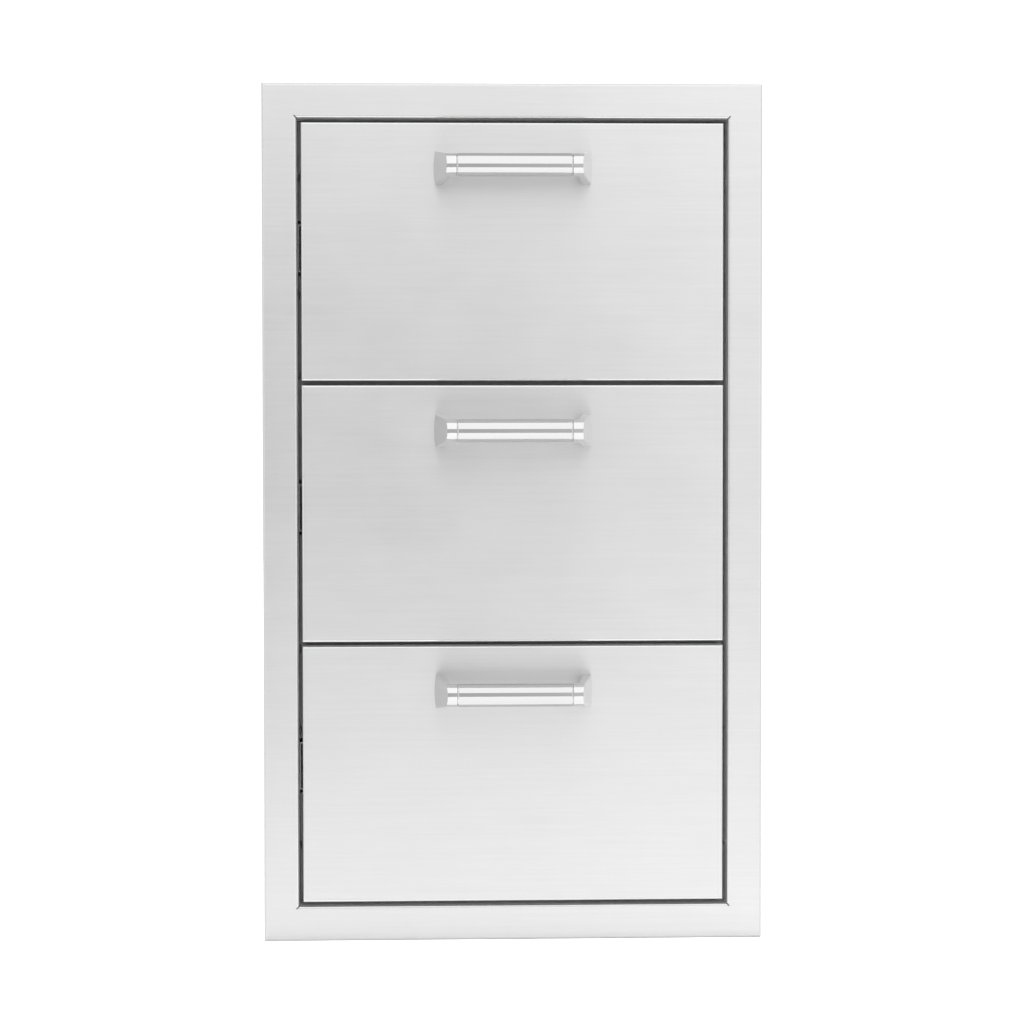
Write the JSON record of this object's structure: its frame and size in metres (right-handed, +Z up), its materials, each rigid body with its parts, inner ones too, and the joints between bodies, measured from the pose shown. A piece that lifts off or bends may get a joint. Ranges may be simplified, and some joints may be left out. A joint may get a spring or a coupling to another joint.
{
  "type": "outdoor kitchen drawer unit",
  "caption": "Built-in stack of stainless drawers behind a flanged trim frame, on full-extension ball slides, each drawer with a round bar handle.",
  "frame": {"origin": "middle of the trim frame's lower edge, in the plane of the wall that the trim lies against", "axes": "+Z up, drawer fronts facing -Y, the case behind the wall at +Y, +X to the right of someone facing the drawers"},
  "size_m": [0.419, 0.5682, 0.7186],
  "materials": {
    "face_steel": "fine brushed stainless, grain across the width, low gloss",
    "case_steel": "mill-finish stainless sheet",
    "box_steel": "mill-finish stainless sheet",
    "slide_steel": "bright zinc-plated steel",
    "cage_steel": "plain steel strip",
    "handle_steel": "polished, slightly soft",
    "bracket_steel": "polished casting, slightly soft",
    "screw_steel": "plain steel",
    "bumper_rubber": "matt"
  },
  "bodies": {
    "case": {"trim_frame": "face_steel", "case_left_side": "case_steel", "case_right_side": "case_steel", "case_top": "case_steel", "case_bottom": "case_steel", "case_back": "case_steel", "front_left_upright": "case_steel", "front_right_upright": "case_steel", "rear_left_upright": "case_steel", "rear_right_upright": "case_steel", "slide_bumpers": "bumper_rubber", "bottom_left_outer_rail": "slide_steel", "bottom_right_outer_rail": "slide_steel", "middle_left_outer_rail": "slide_steel", "middle_right_outer_rail": "slide_steel", "top_left_outer_rail": "slide_steel", "top_right_outer_rail": "slide_steel"},
    "bottom_drawer": {"bottom_front": "face_steel", "bottom_front_liner": "box_steel", "bottom_box": "box_steel", "bottom_handle_bar": "handle_steel", "bottom_handle_left_bracket": "bracket_steel", "bottom_handle_right_bracket": "bracket_steel", "bottom_handle_screws": "screw_steel", "bottom_left_inner_rail": "slide_steel", "bottom_right_inner_rail": "slide_steel"},
    "bottom_middle_rails": {"bottom_left_middle_rail": "slide_steel", "bottom_right_middle_rail": "slide_steel"},
    "bottom_outer_cage_pair": {"bottom_outer_cages": "cage_steel"},
    "bottom_inner_cage_pair": {"bottom_inner_cages": "cage_steel"},
    "middle_drawer": {"middle_front": "face_steel", "middle_front_liner": "box_steel", "middle_box": "box_steel", "middle_handle_bar": "handle_steel", "middle_handle_left_bracket": "bracket_steel", "middle_handle_right_bracket": "bracket_steel", "middle_handle_screws": "screw_steel", "middle_left_inner_rail": "slide_steel", "middle_right_inner_rail": "slide_steel"},
    "middle_middle_rails": {"middle_left_middle_rail": "slide_steel", "middle_right_middle_rail": "slide_steel"},
    "middle_outer_cage_pair": {"middle_outer_cages": "cage_steel"},
    "middle_inner_cage_pair": {"middle_inner_cages": "cage_steel"},
    "top_drawer": {"top_front": "face_steel", "top_front_liner": "box_steel", "top_box": "box_steel", "top_handle_bar": "handle_steel", "top_handle_left_bracket": "bracket_steel", "top_handle_right_bracket": "bracket_steel", "top_handle_screws": "screw_steel", "top_left_inner_rail": "slide_steel", "top_right_inner_rail": "slide_steel"},
    "top_middle_rails": {"top_left_middle_rail": "slide_steel", "top_right_middle_rail": "slide_steel"},
    "top_outer_cage_pair": {"top_outer_cages": "cage_steel"},
    "top_inner_cage_pair": {"top_inner_cages": "cage_steel"}
  },
  "joints": [
    {"name": "bottom_drawer_slide", "type": "slide", "parent": "case", "child": "bottom_drawer", "axis": [0, -1, 0], "range_m": [0, 0.45]},
    {"name": "bottom_middle_slide", "type": "slide", "parent": "case", "child": "bottom_middle_rails", "axis": [0, -1, 0], "range_m": [0, 0.225]},
    {"name": "bottom_outer_cage_roll", "type": "slide", "parent": "case", "child": "bottom_outer_cage_pair", "axis": [0, -1, 0], "range_m": [0, 0.1125]},
    {"name": "bottom_inner_cage_roll", "type": "slide", "parent": "case", "child": "bottom_inner_cage_pair", "axis": [0, -1, 0], "range_m": [0, 0.3375]},
    {"name": "middle_drawer_slide", "type": "slide", "parent": "case", "child": "middle_drawer", "axis": [0, -1, 0], "range_m": [0, 0.45]},
    {"name": "middle_middle_slide", "type": "slide", "parent": "case", "child": "middle_middle_rails", "axis": [0, -1, 0], "range_m": [0, 0.225]},
    {"name": "middle_outer_cage_roll", "type": "slide", "parent": "case", "child": "middle_outer_cage_pair", "axis": [0, -1, 0], "range_m": [0, 0.1125]},
    {"name": "middle_inner_cage_roll", "type": "slide", "parent": "case", "child": "middle_inner_cage_pair", "axis": [0, -1, 0], "range_m": [0, 0.3375]},
    {"name": "top_drawer_slide", "type": "slide", "parent": "case", "child": "top_drawer", "axis": [0, -1, 0], "range_m": [0, 0.45]},
    {"name": "top_middle_slide", "type": "slide", "parent": "case", "child": "top_middle_rails", "axis": [0, -1, 0], "range_m": [0, 0.225]},
    {"name": "top_outer_cage_roll", "type": "slide", "parent": "case", "child": "top_outer_cage_pair", "axis": [0, -1, 0], "range_m": [0, 0.1125]},
    {"name": "top_inner_cage_roll", "type": "slide", "parent": "case", "child": "top_inner_cage_pair", "axis": [0, -1, 0], "range_m": [0, 0.3375]}
  ],
  "couplings": [
    {"joint": "bottom_middle_slide", "follows": "bottom_drawer_slide", "ratio": 0.5},
    {"joint": "bottom_outer_cage_roll", "follows": "bottom_drawer_slide", "ratio": 0.25},
    {"joint": "bottom_inner_cage_roll", "follows": "bottom_drawer_slide", "ratio": 0.75},
    {"joint": "middle_middle_slide", "follows": "middle_drawer_slide", "ratio": 0.5},
    {"joint": "middle_outer_cage_roll", "follows": "middle_drawer_slide", "ratio": 0.25},
    {"joint": "middle_inner_cage_roll", "follows": "middle_drawer_slide", "ratio": 0.75},
    {"joint": "top_middle_slide", "follows": "top_drawer_slide", "ratio": 0.5},
    {"joint": "top_outer_cage_roll", "follows": "top_drawer_slide", "ratio": 0.25},
    {"joint": "top_inner_cage_roll", "follows": "top_drawer_slide", "ratio": 0.75}
  ]
}
